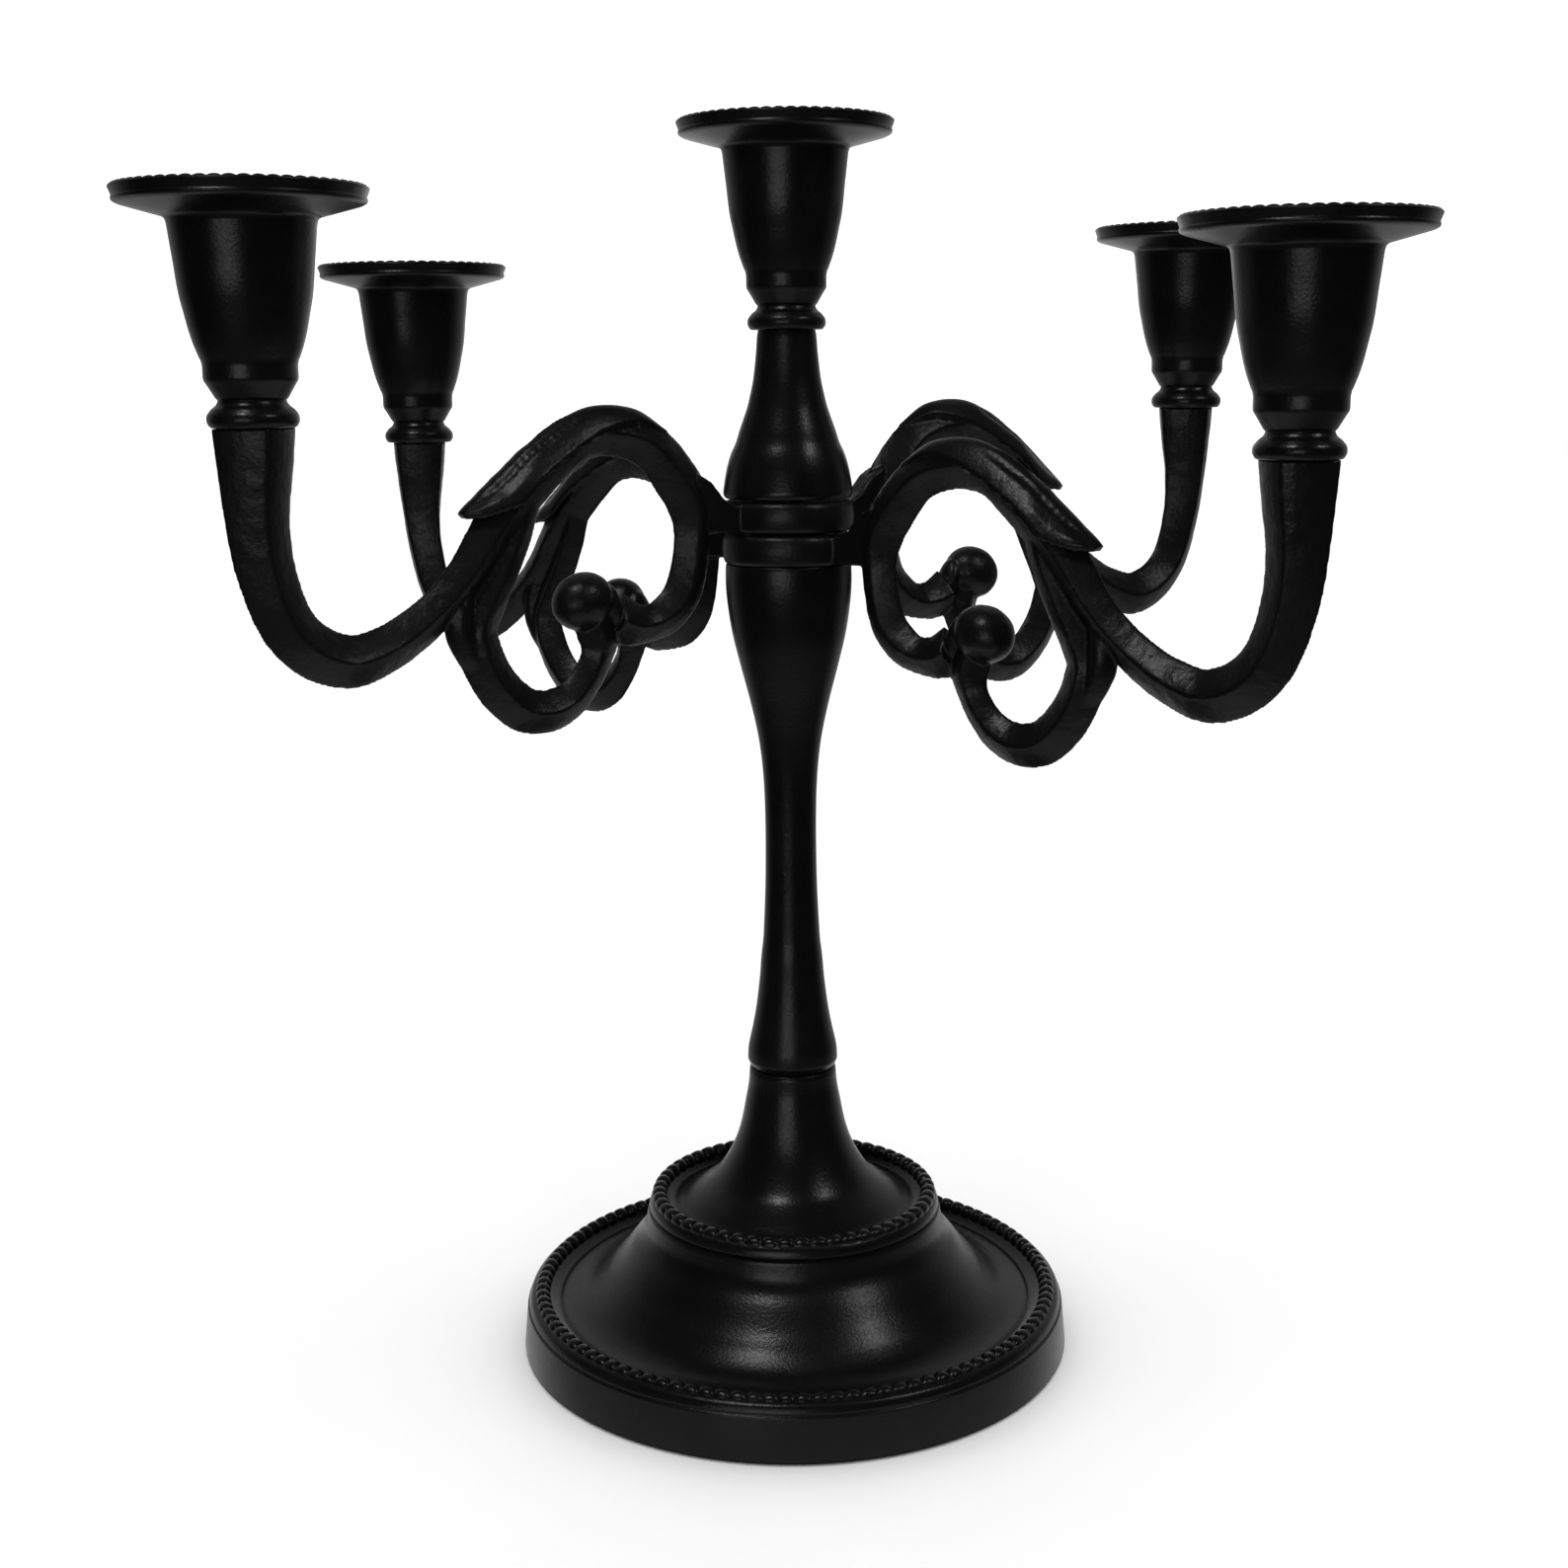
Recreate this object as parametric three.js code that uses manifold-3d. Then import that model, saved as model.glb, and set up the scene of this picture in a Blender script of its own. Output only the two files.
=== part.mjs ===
// Five-light table candelabrum in cast metal.
// Millimetres, +Z up. The origin is on the column's axis, at the surface that the foot stands on.
// Two double-arm castings are stacked on the column and turn about it. Every candle cup screws
// onto its arm, and the middle one onto the upper stem, by a threaded stud.

import * as THREE from 'three';
import { mergeVertices } from 'three/addons/utils/BufferGeometryUtils.js';
import Module from 'manifold-3d';

const wasm = await Module();
wasm.setup();

// ---- driving dimensions -------------------------------------------------------------------
const OVERALL_HEIGHT = 270;
const SEAM = 0.3; // gap left between pieces that rest on each other

const FOOT_RADIUS = 62.3;
const NECK_TOP = 64.4; // top of the foot's neck
const NECK_RADIUS = 9.5;
const BOSS_UNDERSIDE = 52; // flat face inside the neck that the tie rod pulls on

const COLLAR_HEIGHT = 6.7;
const COLLAR_RADIUS = 14.3;
const LOWER_COLLAR_BOTTOM = 177.9;
const UPPER_COLLAR_BOTTOM = LOWER_COLLAR_BOTTOM + COLLAR_HEIGHT + SEAM;
const UPPER_STEM_BOTTOM = UPPER_COLLAR_BOTTOM + COLLAR_HEIGHT + SEAM;
const SPIGOT_RADIUS = 8;
const COLLAR_BORE_RADIUS = 8.1; // turns freely on the spigot

const ARM_REACH = 117.6; // column axis to candle axis
const ARM_TOP = 24; // arm's seat above the underside of its collar
const LOWER_ARM_ANGLE = -38.8; // degrees from +X to the front right arm
const UPPER_ARM_ANGLE = 34.1; // degrees from +X to the rear right arm

const CUP_HEIGHT = 42.8;
const PAN_RADIUS = 22.9;
const SOCKET_FLOOR = 16; // candle seat above the cup's underside
const SOCKET_FLOOR_RADIUS = 8;
const SOCKET_MOUTH_RADIUS = 11;

const STUD_RADIUS = 2.85;
const STUD_HOLE_RADIUS = 3.1;
const STUD_IN_CUP = 8;
const STUD_IN_ARM = 9;
const HOLE_SPARE_DEPTH = 0.6; // free space past the end of a stud or rod

const ROD_RADIUS = 3;
const ROD_HOLE_RADIUS = 3.4;
const ROD_BOTTOM = 41.5;
const ROD_IN_UPPER_STEM = 18;
const WASHER_THICKNESS = 1.5;
const NUT_HEIGHT = 5;
const NUT_ACROSS_FLATS = 10;

// ---- fineness of the facets ---------------------------------------------------------------
const FOOT_SIDES = 48;
const COLUMN_SIDES = 28;
const CUP_SIDES = 24;
const THREAD_SIDES = 12;
const STRAND_STATIONS = 32;
const SCROLL_STATIONS = 18;
const LEAF_STATIONS = 11;
const WEB_STATIONS = 6;

// ---- helpers ------------------------------------------------------------------------------
const point = (radius, height) => new THREE.Vector2(radius, height);

// Points along a smooth curve through the given [radius, height] pairs.
function smooth(pairs, divisions) {
  return new THREE.SplineCurve(pairs.map(([radius, height]) => point(radius, height))).getPoints(divisions);
}

// Makes a manifold solid from any closed geometry, whichever way its faces point.
function solidFrom(geometry) {
  const bare = geometry.clone();
  bare.deleteAttribute('normal');
  bare.deleteAttribute('uv');
  const merged = mergeVertices(bare, 1e-4);
  const positions = merged.attributes.position;
  const corner = [0, 1, 2].map(() => new THREE.Vector3());
  const triangles = [];
  let volume = 0;
  for (let i = 0; i < merged.index.count; i += 3) {
    const ids = [0, 1, 2].map((k) => merged.index.getX(i + k));
    if (ids[0] === ids[1] || ids[1] === ids[2] || ids[2] === ids[0]) continue;
    ids.forEach((id, k) => corner[k].fromBufferAttribute(positions, id));
    volume += corner[0].dot(corner[1].clone().cross(corner[2]));
    triangles.push(...ids);
  }
  if (volume < 0) {
    for (let i = 0; i < triangles.length; i += 3) {
      [triangles[i + 1], triangles[i + 2]] = [triangles[i + 2], triangles[i + 1]];
    }
  }
  const mesh = new wasm.Mesh({
    numProp: 3,
    vertProperties: new Float32Array(positions.array),
    triVerts: new Uint32Array(triangles),
  });
  return new wasm.Manifold(mesh);
}

function geometryFrom(solid) {
  const mesh = solid.getMesh();
  const geometry = new THREE.BufferGeometry();
  geometry.setAttribute('position', new THREE.BufferAttribute(new Float32Array(mesh.vertProperties), 3));
  geometry.setIndex(new THREE.BufferAttribute(new Uint32Array(mesh.triVerts), 1));
  geometry.computeVertexNormals();
  return geometry;
}

// Solid of revolution about Z; the profile starts and ends on the axis or closes on itself.
function revolve(profile, sides) {
  const lathe = new THREE.LatheGeometry(profile, sides);
  lathe.rotateX(Math.PI / 2);
  return solidFrom(lathe);
}

// Round bar along Z, used for rods and as a drill.
function bar(radius, bottom, top, sides = THREAD_SIDES) {
  return revolve([point(0, bottom), point(radius, bottom), point(radius, top), point(0, top)], sides);
}

// Closed body through a row of outlines that all have the same number of points.
function loft(outlines) {
  const count = outlines[0].length;
  const positions = outlines.flat().flatMap((p) => [p.x, p.y, p.z]);
  const faces = [];
  for (let ring = 0; ring + 1 < outlines.length; ring += 1) {
    for (let k = 0; k < count; k += 1) {
      const a = ring * count + k;
      const b = ring * count + ((k + 1) % count);
      faces.push(a, b, a + count, b, b + count, a + count);
    }
  }
  const addCap = (ring, flip) => {
    const centre = new THREE.Vector3();
    outlines[ring].forEach((p) => centre.addScaledVector(p, 1 / count));
    const hub = positions.length / 3;
    positions.push(centre.x, centre.y, centre.z);
    for (let k = 0; k < count; k += 1) {
      const a = ring * count + k;
      const b = ring * count + ((k + 1) % count);
      faces.push(hub, flip ? b : a, flip ? a : b);
    }
  };
  addCap(0, true);
  addCap(outlines.length - 1, false);
  const geometry = new THREE.BufferGeometry();
  geometry.setAttribute('position', new THREE.Float32BufferAttribute(positions, 3));
  geometry.setIndex(faces);
  return solidFrom(geometry);
}

// ---- foot ---------------------------------------------------------------------------------
function footOutside() {
  const skirt = [point(FOOT_RADIUS, 0), point(61.3, 9.9)];
  const shoulderLine = [point(60.8, 10.2), point(61, 10.7)];
  const outerBead = smooth([[60.3, 12.1], [59, 12.9], [57.6, 13.7], [56.2, 13], [55.2, 11.1]], 4);
  const lowerFlare = smooth([[53.1, 9.7], [48.1, 10.6], [44, 14.7], [40.3, 18.8], [37.2, 22.9], [34.8, 26], [34, 30]], 7);
  const grooveLine = [point(33.6, 30.9), point(32.4, 31.1), point(32.5, 31.9)];
  const innerBead = smooth([[31.8, 34], [30.4, 35.6], [29.1, 34.4], [27.8, 32.4]], 4);
  const upperFlare = smooth([[25.7, 33], [20.2, 36.7], [16.5, 40.8], [13.3, 46.7], [10.7, 56], [NECK_RADIUS, NECK_TOP]], 8);
  return [...skirt, ...shoulderLine, ...outerBead, ...lowerFlare, ...grooveLine, ...innerBead, ...upperFlare];
}

function footInside() {
  const upperHollow = smooth([[8.6, BOSS_UNDERSIDE], [9.4, 46], [13, 39.5], [20, 32.8], [27, 28.9]], 4);
  const lowerHollow = smooth([[31, 25.4], [37, 17.3], [45, 8.9], [52, 6.8]], 4);
  return [point(0, BOSS_UNDERSIDE), ...upperHollow, ...lowerHollow, point(58, 8), point(59, 0)];
}

function footBody() {
  const outline = [...footInside(), ...footOutside(), point(0, NECK_TOP)];
  return revolve(outline, FOOT_SIDES).subtract(bar(ROD_HOLE_RADIUS, BOSS_UNDERSIDE - 1, NECK_TOP + 1));
}

// ---- column and upper stem ----------------------------------------------------------------
function columnBody() {
  const bottom = NECK_TOP + SEAM;
  const shoulder = LOWER_COLLAR_BOTTOM - SEAM;
  const spigotTop = UPPER_STEM_BOTTOM - 2 * SEAM;
  const lip = [point(9.2, bottom), point(9.95, bottom + 0.9), point(10.15, bottom + 2.4)];
  const shaft = smooth([
    [9.9, 69.3], [8.2, 77.5], [6.8, 90], [5.9, 104], [5.6, 119], [6, 131], [7.5, 143],
    [10.5, 155], [12.5, 163], [13.6, 173], [13.3, shoulder],
  ], 16);
  const spigot = [point(SPIGOT_RADIUS, shoulder), point(SPIGOT_RADIUS, spigotTop), point(0, spigotTop)];
  const outline = [point(0, bottom), ...lip, ...shaft, ...spigot];
  return revolve(outline, COLUMN_SIDES).subtract(bar(ROD_HOLE_RADIUS, bottom - 1, spigotTop + 1));
}

function upperStemBody() {
  const top = OVERALL_HEIGHT - CUP_HEIGHT - SEAM;
  const rodHoleTop = UPPER_STEM_BOTTOM + ROD_IN_UPPER_STEM + HOLE_SPARE_DEPTH;
  const studHoleBottom = top - STUD_IN_ARM - HOLE_SPARE_DEPTH;
  const side = smooth([
    [13.9, UPPER_STEM_BOTTOM + 0.9], [13.4, 196.8], [11.6, 202.4], [9, 209.3], [7.5, 215.5], [6.6, 222.3], [6.3, top],
  ], 10);
  const outline = [point(0, UPPER_STEM_BOTTOM), point(13.3, UPPER_STEM_BOTTOM), ...side, point(0, top)];
  return revolve(outline, COLUMN_SIDES)
    .subtract(bar(ROD_HOLE_RADIUS, UPPER_STEM_BOTTOM - 1, rodHoleTop))
    .subtract(bar(STUD_HOLE_RADIUS, studHoleBottom, top + 1));
}

// ---- arm castings -------------------------------------------------------------------------
// An arm lies in its own X-Z plane: x is the distance from the column's axis and z the height
// above the underside of the collar. Each row of a strand is [x, z, half depth in the plane].
const MAIN_STRAND = [
  [43, -16, 5.4], [38.9, -17.5, 4.6], [35, -17.5, 4], [30.9, -15.9, 4.4], [26.8, -11.5, 4.6],
  [24.3, -0.1, 4.5], [24.8, 6.4, 5.3], [28.9, 13.2, 5.3], [34.2, 18.8, 4.9], [39.9, 21.2, 4.9],
  [45.7, 21.8, 4.9], [51.9, 20.6, 5], [57.4, 16.9, 5.4], [67.8, 6.3, 5.2], [76.4, -5.2, 4.4],
  [81.1, -10, 4.2], [86.9, -14.5, 4.4], [92.7, -17.8, 4.7], [100.8, -20.1, 5.2], [107.9, -17.8, 5.4],
  [113.1, -12.5, 5.2], [116.8, -2, 5.4], [117.9, 8, 5.9], [117.7, 18, 7],
  [ARM_REACH, ARM_TOP, 7.7],
];
const SCROLL_STRAND = [
  [57.7, 16, 2.6], [62.7, 9.4, 3], [65.9, 1.5, 3.9], [69.3, -5.6, 4.3], [72.6, -11.3, 4.4], [74.5, -16, 4.5],
  [74.1, -20, 4.8], [72.9, -23.4, 4.8], [71, -26.8, 4.8], [68.2, -30.2, 4.8], [65, -32.7, 4.7],
  [61.5, -33.7, 4.6], [57.6, -33.4, 4.4], [53.8, -31.6, 4.1], [50.5, -28.3, 3.8], [48, -24, 3.8],
  [47.2, -19.5, 4.8], [49.2, -14.5, 4.4],
];
// Short strand that fills the crotch between the scroll and the arm.
const WEB_STRAND = [[76.3, -6, 1.5], [78, -11.5, 3], [78, -16.5, 3.2], [76.2, -21.5, 2.6], [73.5, -26, 1.5]];
const STRAND_SLENDERNESS = 0.7; // half width across the plane over half depth in it
const BUD = { x: 50.7, z: -11.9, length: 6.6, height: 5.8, width: 5.6 };
const BUD_SIDES = 12;
const LUG_HALF_THICKNESS = 2.7;

// Section of a strand: a lozenge with blunt inner and outer edges and a ridge on each side.
const LOZENGE = [
  [1, 0.3], [0.55, 0.8], [0, 1], [-0.55, 0.8], [-1, 0.3],
  [-1, -0.3], [-0.55, -0.8], [0, -1], [0.55, -0.8], [1, -0.3],
];

// Places on a strand's centre line, with the direction away from the curl's middle.
function strandPlaces(rows, stations) {
  const line = new THREE.CatmullRomCurve3(rows.map(([x, z]) => new THREE.Vector3(x, 0, z)), false, 'centripetal');
  const depths = new THREE.CatmullRomCurve3(
    rows.map(([, , depth], i) => new THREE.Vector3(i / (rows.length - 1), depth, 0)),
    false,
    'centripetal',
  );
  return Array.from({ length: stations + 1 }, (_, i) => {
    const along = i / stations;
    const tangent = line.getTangent(along);
    return {
      centre: line.getPoint(along),
      outward: new THREE.Vector3(-tangent.z, 0, tangent.x),
      depth: depths.getPoint(along).y,
    };
  });
}

function strandBody(rows, stations) {
  const outlines = strandPlaces(rows, stations).map(({ centre, outward, depth }) =>
    LOZENGE.map(([deep, wide]) => {
      const corner = centre.clone().addScaledVector(outward, deep * depth);
      corner.y = wide * depth * STRAND_SLENDERNESS;
      return corner;
    }));
  return loft(outlines);
}

// Acanthus leaf that saddles the outside of the curl and ends in a tip that stands off the arm.
// Each row is [x, z of the crest, half width, drop from crest to edge].
const LEAF = [
  [30, 22, 0.8, 0.6], [36.6, 26.1, 2.8, 1.8], [40.5, 27.1, 3.5, 2.9], [44.6, 27.4, 4, 4],
  [49, 26.9, 4.3, 4.8], [53, 25.4, 4.6, 5.2], [58, 22.6, 5, 5.3], [63.9, 18.7, 5.7, 5.3],
  [67.1, 16, 6, 5.6], [69.9, 13.7, 5.9, 5.9], [72.5, 11.5, 5.2, 4.7], [75, 9.4, 4.1, 3.3],
  [76.5, 8.2, 2.9, 2.3], [77.6, 7.2, 1.4, 1.2],
];
const LEAF_THICKNESS = 2.4;

function leafBody() {
  const crest = new THREE.CatmullRomCurve3(LEAF.map(([x, z]) => new THREE.Vector3(x, 0, z)), false, 'centripetal');
  const sizes = new THREE.CatmullRomCurve3(
    LEAF.map(([, , width, drop], i) => new THREE.Vector3(i, width, drop)),
    false,
    'centripetal',
  );
  const outlines = Array.from({ length: LEAF_STATIONS + 1 }, (_, i) => {
    const along = i / LEAF_STATIONS;
    const centre = crest.getPoint(along);
    const tangent = crest.getTangent(along);
    const outward = new THREE.Vector3(-tangent.z, 0, tangent.x);
    const { y: width, z: drop } = sizes.getPoint(along);
    const section = [[0, 0], [width * 0.6, -drop * 0.3], [width, -drop], [width * 0.8, -drop - 0.8],
      [0, -LEAF_THICKNESS - drop * 0.7], [-width * 0.8, -drop - 0.8], [-width, -drop], [-width * 0.6, -drop * 0.3]];
    return section.map(([across, up]) => {
      const corner = centre.clone().addScaledVector(outward, up);
      corner.y = across;
      return corner;
    });
  });
  return loft(outlines);
}

function budBody() {
  const ball = new THREE.SphereGeometry(1, BUD_SIDES, BUD_SIDES - 4);
  ball.scale(BUD.length, BUD.width, BUD.height);
  ball.rotateY(THREE.MathUtils.degToRad(-25));
  ball.translate(BUD.x, 0, BUD.z);
  return solidFrom(ball);
}

// Flat plate in the arm's plane.
function flatPlate(outline, halfThickness) {
  const shape = new THREE.Shape(outline.map(([x, z]) => point(x, z)));
  const plate = new THREE.ExtrudeGeometry(shape, { depth: 2 * halfThickness, bevelEnabled: false });
  plate.rotateX(Math.PI / 2);
  plate.translate(0, halfThickness, 0);
  return solidFrom(plate);
}

// Bracket that joins the collar to the curl.
function lugBody() {
  const outline = [[12, 0.4], [22.5, 0.4], [24, 13], [20.6, 11], [17.8, 7.6], [15.5, 6.3], [12, 6.3]];
  return flatPlate(outline, LUG_HALF_THICKNESS);
}

function armBody() {
  return strandBody(MAIN_STRAND, STRAND_STATIONS)
    .add(strandBody(SCROLL_STRAND, SCROLL_STATIONS))
    .add(leafBody())
    .add(budBody())
    .add(strandBody(WEB_STRAND, WEB_STATIONS))
    .add(lugBody());
}

function collarBody() {
  const edge = smooth([[13.2, 0], [14.1, 1.5], [COLLAR_RADIUS, COLLAR_HEIGHT / 2], [14.1, 5.2], [13.2, COLLAR_HEIGHT]], 6);
  return revolve([point(0, 0), ...edge, point(0, COLLAR_HEIGHT)], COLUMN_SIDES);
}

// One collar with two opposite arms; the arm tops are cut flat and drilled for the studs.
function castingBody() {
  const arm = armBody();
  const above = new THREE.BoxGeometry(40, 40, 20);
  above.translate(ARM_REACH, 0, ARM_TOP + 10);
  const drill = bar(STUD_HOLE_RADIUS, ARM_TOP - STUD_IN_ARM - HOLE_SPARE_DEPTH, ARM_TOP + 1);
  const finished = arm.subtract(solidFrom(above)).subtract(drill.translate([ARM_REACH, 0, 0]));
  return collarBody()
    .add(finished)
    .add(finished.rotate([0, 0, 180]))
    .subtract(bar(COLLAR_BORE_RADIUS, -1, COLLAR_HEIGHT + 1, COLUMN_SIDES));
}

// ---- candle cup and stud ------------------------------------------------------------------
function cupBody() {
  const flange = [point(0, 0), point(8, 0), point(8.2, 1.4)];
  const waist = smooth([[7.3, 2.6], [6.7, 4.4], [6.6, 5.9], [7.4, 7], [8.4, 8.5]], 4);
  const band = [point(8.45, 9.4), point(8.2, 11.8)];
  const bowl = smooth([[8.8, 12.6], [10.2, 16.4], [11.5, 22.1], [12.2, 27.5], [13.3, 36]], 5);
  const pan = [point(14.2, 37.1), point(21.6, 40.2)];
  const rim = smooth([[PAN_RADIUS - 0.2, 41.5], [PAN_RADIUS - 0.5, 42.6], [21.6, CUP_HEIGHT], [20.8, 42.1]], 4);
  const dish = [point(20.4, 41.3), point(13, 38.4), point(SOCKET_MOUTH_RADIUS + 0.5, 38.1)];
  const socket = [point(SOCKET_MOUTH_RADIUS, 37.5), point(10.2, 24), point(SOCKET_FLOOR_RADIUS, SOCKET_FLOOR)];
  const outline = [...flange, ...waist, ...band, ...bowl, ...pan, ...rim, ...dish, ...socket, point(0, SOCKET_FLOOR)];
  return revolve(outline, CUP_SIDES).subtract(bar(STUD_HOLE_RADIUS, -1, STUD_IN_CUP + HOLE_SPARE_DEPTH));
}

const studBody = () => bar(STUD_RADIUS, -STUD_IN_ARM, STUD_IN_CUP);

// ---- tie rod and its fasteners ------------------------------------------------------------
const rodBody = () => bar(ROD_RADIUS, ROD_BOTTOM, UPPER_STEM_BOTTOM + ROD_IN_UPPER_STEM);

function washerBody(radius) {
  return bar(radius, 0, WASHER_THICKNESS, 24).subtract(bar(ROD_HOLE_RADIUS, -1, WASHER_THICKNESS + 1));
}

function lockWasherBody() {
  const split = new THREE.BoxGeometry(8, 0.8, 2 * WASHER_THICKNESS);
  split.rotateX(0.3);
  split.translate(5.5, 0, WASHER_THICKNESS / 2);
  return washerBody(5.2).subtract(solidFrom(split));
}

function nutBody() {
  const acrossCorners = NUT_ACROSS_FLATS / Math.cos(Math.PI / 6);
  return bar(acrossCorners / 2, 0, NUT_HEIGHT, 6).subtract(bar(ROD_HOLE_RADIUS, -1, NUT_HEIGHT + 1));
}

// ---- assembly -----------------------------------------------------------------------------
const FINISHES = {
  castBlack: { color: 0x0c0c0d, roughness: 0.42, metalness: 0.3 },
  zincSteel: { color: 0xa4a6a8, roughness: 0.35, metalness: 1 },
};

function piece(name, solid, finish, height = 0) {
  const mesh = new THREE.Mesh(geometryFrom(solid), new THREE.MeshStandardMaterial(FINISHES[finish]));
  mesh.name = name;
  mesh.position.z = height;
  return mesh;
}

const candelabrum = new THREE.Group();
candelabrum.add(piece('base_foot', footBody(), 'castBlack'));
candelabrum.add(piece('stem_column', columnBody(), 'castBlack'));
candelabrum.add(piece('upper_stem', upperStemBody(), 'castBlack'));
candelabrum.add(piece('tie_rod', rodBody(), 'zincSteel'));

const plateWasherBottom = BOSS_UNDERSIDE - SEAM - WASHER_THICKNESS;
const lockWasherBottom = plateWasherBottom - SEAM - WASHER_THICKNESS;
const nutBottom = lockWasherBottom - SEAM - NUT_HEIGHT;
candelabrum.add(piece('plate_washer', washerBody(8), 'zincSteel', plateWasherBottom));
candelabrum.add(piece('lock_washer', lockWasherBody(), 'zincSteel', lockWasherBottom));
candelabrum.add(piece('base_nut', nutBody(), 'zincSteel', nutBottom));

// Places a cup and its stud on a seat; the seat is in the parent's own coordinates.
function addCup(parent, place, x, seat) {
  const cup = piece(`cup_${place}`, cupBody(), 'castBlack', seat + SEAM);
  const stud = piece(`stud_${place}`, studBody(), 'zincSteel', seat);
  cup.position.x = x;
  stud.position.x = x;
  parent.add(cup, stud);
}

function addCasting(name, angle, bottom, rightPlace, leftPlace) {
  const arms = new THREE.Group();
  arms.position.z = bottom;
  arms.rotation.z = THREE.MathUtils.degToRad(angle);
  arms.add(piece(name, castingBody(), 'castBlack'));
  addCup(arms, rightPlace, ARM_REACH, ARM_TOP);
  addCup(arms, leftPlace, -ARM_REACH, ARM_TOP);
  candelabrum.add(arms);
}

addCasting('lower_arm_casting', LOWER_ARM_ANGLE, LOWER_COLLAR_BOTTOM, 'front_right', 'rear_left');
addCasting('upper_arm_casting', UPPER_ARM_ANGLE, UPPER_COLLAR_BOTTOM, 'rear_right', 'front_left');
addCup(candelabrum, 'centre', 0, OVERALL_HEIGHT - CUP_HEIGHT - SEAM);

export default candelabrum;
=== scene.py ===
"""Looks for the five-light table candelabrum: cast pieces in satin black paint on a pale studio floor.

Lengths are in millimetres in the shape code and become metres when a mesh is made. Each turned
piece is one profile swept round its axis. Each arm casting is built from strands with a lozenge
section, fused into one skin and given the lumps of a sand casting.
"""

import math

import bmesh
import bpy
import numpy as np
from mathutils import Matrix, Vector, noise


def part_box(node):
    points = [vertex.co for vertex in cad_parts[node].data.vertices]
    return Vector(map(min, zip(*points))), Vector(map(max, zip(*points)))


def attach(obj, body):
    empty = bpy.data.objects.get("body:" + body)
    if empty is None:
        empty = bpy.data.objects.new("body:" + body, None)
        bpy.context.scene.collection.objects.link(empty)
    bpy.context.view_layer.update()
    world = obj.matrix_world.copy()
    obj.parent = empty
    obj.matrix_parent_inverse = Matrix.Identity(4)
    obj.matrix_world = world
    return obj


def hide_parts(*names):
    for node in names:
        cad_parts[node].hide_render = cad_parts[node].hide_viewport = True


MM = 0.001
FOOT_SIDES = 192
COLUMN_SIDES = 128
UPPER_STEM_SIDES = 96
CUP_SIDES = 112
BEAD_CREASE_DEGREES = 60
CUP_PLACES = ("centre", "front_left", "front_right", "rear_left", "rear_right")
OUTER_BEADS = 108
INNER_BEADS = 56
PAN_BEADS = 56
BEAD_RADIUS = 1.75
PAN_BEAD_RADIUS = 0.85
CUP_SEAM = 0.3  # gap between an arm's seat and the underside of its cup

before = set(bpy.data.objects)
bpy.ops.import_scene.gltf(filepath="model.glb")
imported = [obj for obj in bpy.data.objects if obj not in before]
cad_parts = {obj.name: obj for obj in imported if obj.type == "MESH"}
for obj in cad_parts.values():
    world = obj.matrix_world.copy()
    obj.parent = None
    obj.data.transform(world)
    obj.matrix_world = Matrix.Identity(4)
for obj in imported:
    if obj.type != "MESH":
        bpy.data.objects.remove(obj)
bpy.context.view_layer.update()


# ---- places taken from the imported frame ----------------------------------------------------

def centre_and_base(node):
    """Middle of a node's box in plan, and its lowest height, in millimetres."""
    low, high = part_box(node)
    return (low.x + high.x) / 2 / MM, (low.y + high.y) / 2 / MM, low.z / MM


def angle_of(node):
    x, y, _ = centre_and_base(node)
    return math.atan2(y, x)


# ---- curves and meshes ---------------------------------------------------------------------

def curve_through(rows, count):
    """Smooth curve through rows of numbers, as count rows; the first two columns set the pace."""
    rows = np.array(rows, float)
    steps = np.linalg.norm(np.diff(rows[:, :2], axis=0), axis=1) ** 0.5
    knots = np.concatenate([[0], np.cumsum(steps)])
    slopes = np.gradient(rows, knots, axis=0)
    result = []
    for at in np.linspace(0, knots[-1], count):
        i = min(int(np.searchsorted(knots, at, side="right")) - 1, len(knots) - 2)
        span = knots[i + 1] - knots[i]
        u = (at - knots[i]) / span
        h00 = (1 + 2 * u) * (1 - u) ** 2
        h10 = u * (1 - u) ** 2
        h01 = u * u * (3 - 2 * u)
        h11 = u * u * (u - 1)
        value = h00 * rows[i] + h10 * span * slopes[i] + h01 * rows[i + 1] + h11 * span * slopes[i + 1]
        result.append(value)
    return np.array(result)


def rounded(corners, steps=4):
    """Polyline with each corner (radius, height, fillet) replaced by a small arc."""
    corners = [tuple(c) + (0,) * (3 - len(c)) for c in corners]
    result = []
    for i, (x, y, fillet) in enumerate(corners):
        here = np.array([x, y])
        if fillet == 0 or i in (0, len(corners) - 1):
            result.append(here)
            continue
        before = np.array(corners[i - 1][:2]) - here
        after = np.array(corners[i + 1][:2]) - here
        reach = min(fillet, 0.45 * np.linalg.norm(before), 0.45 * np.linalg.norm(after))
        start = here + before / np.linalg.norm(before) * reach
        end = here + after / np.linalg.norm(after) * reach
        for k in range(steps + 1):
            u = k / steps
            result.append((1 - u) ** 2 * start + 2 * u * (1 - u) * here + u * u * end)
    return np.array(result)


def make_object(name, vertices, faces, sharp_degrees=38):
    """Smooth-shaded object from points in millimetres; edges over the angle stay crisp."""
    mesh = bpy.data.meshes.new(name)
    mesh.from_pydata([tuple(v) for v in np.asarray(vertices, float) * MM], [], faces)
    finish_mesh(mesh, sharp_degrees)
    obj = bpy.data.objects.new(name, mesh)
    bpy.context.scene.collection.objects.link(obj)
    return obj


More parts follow.
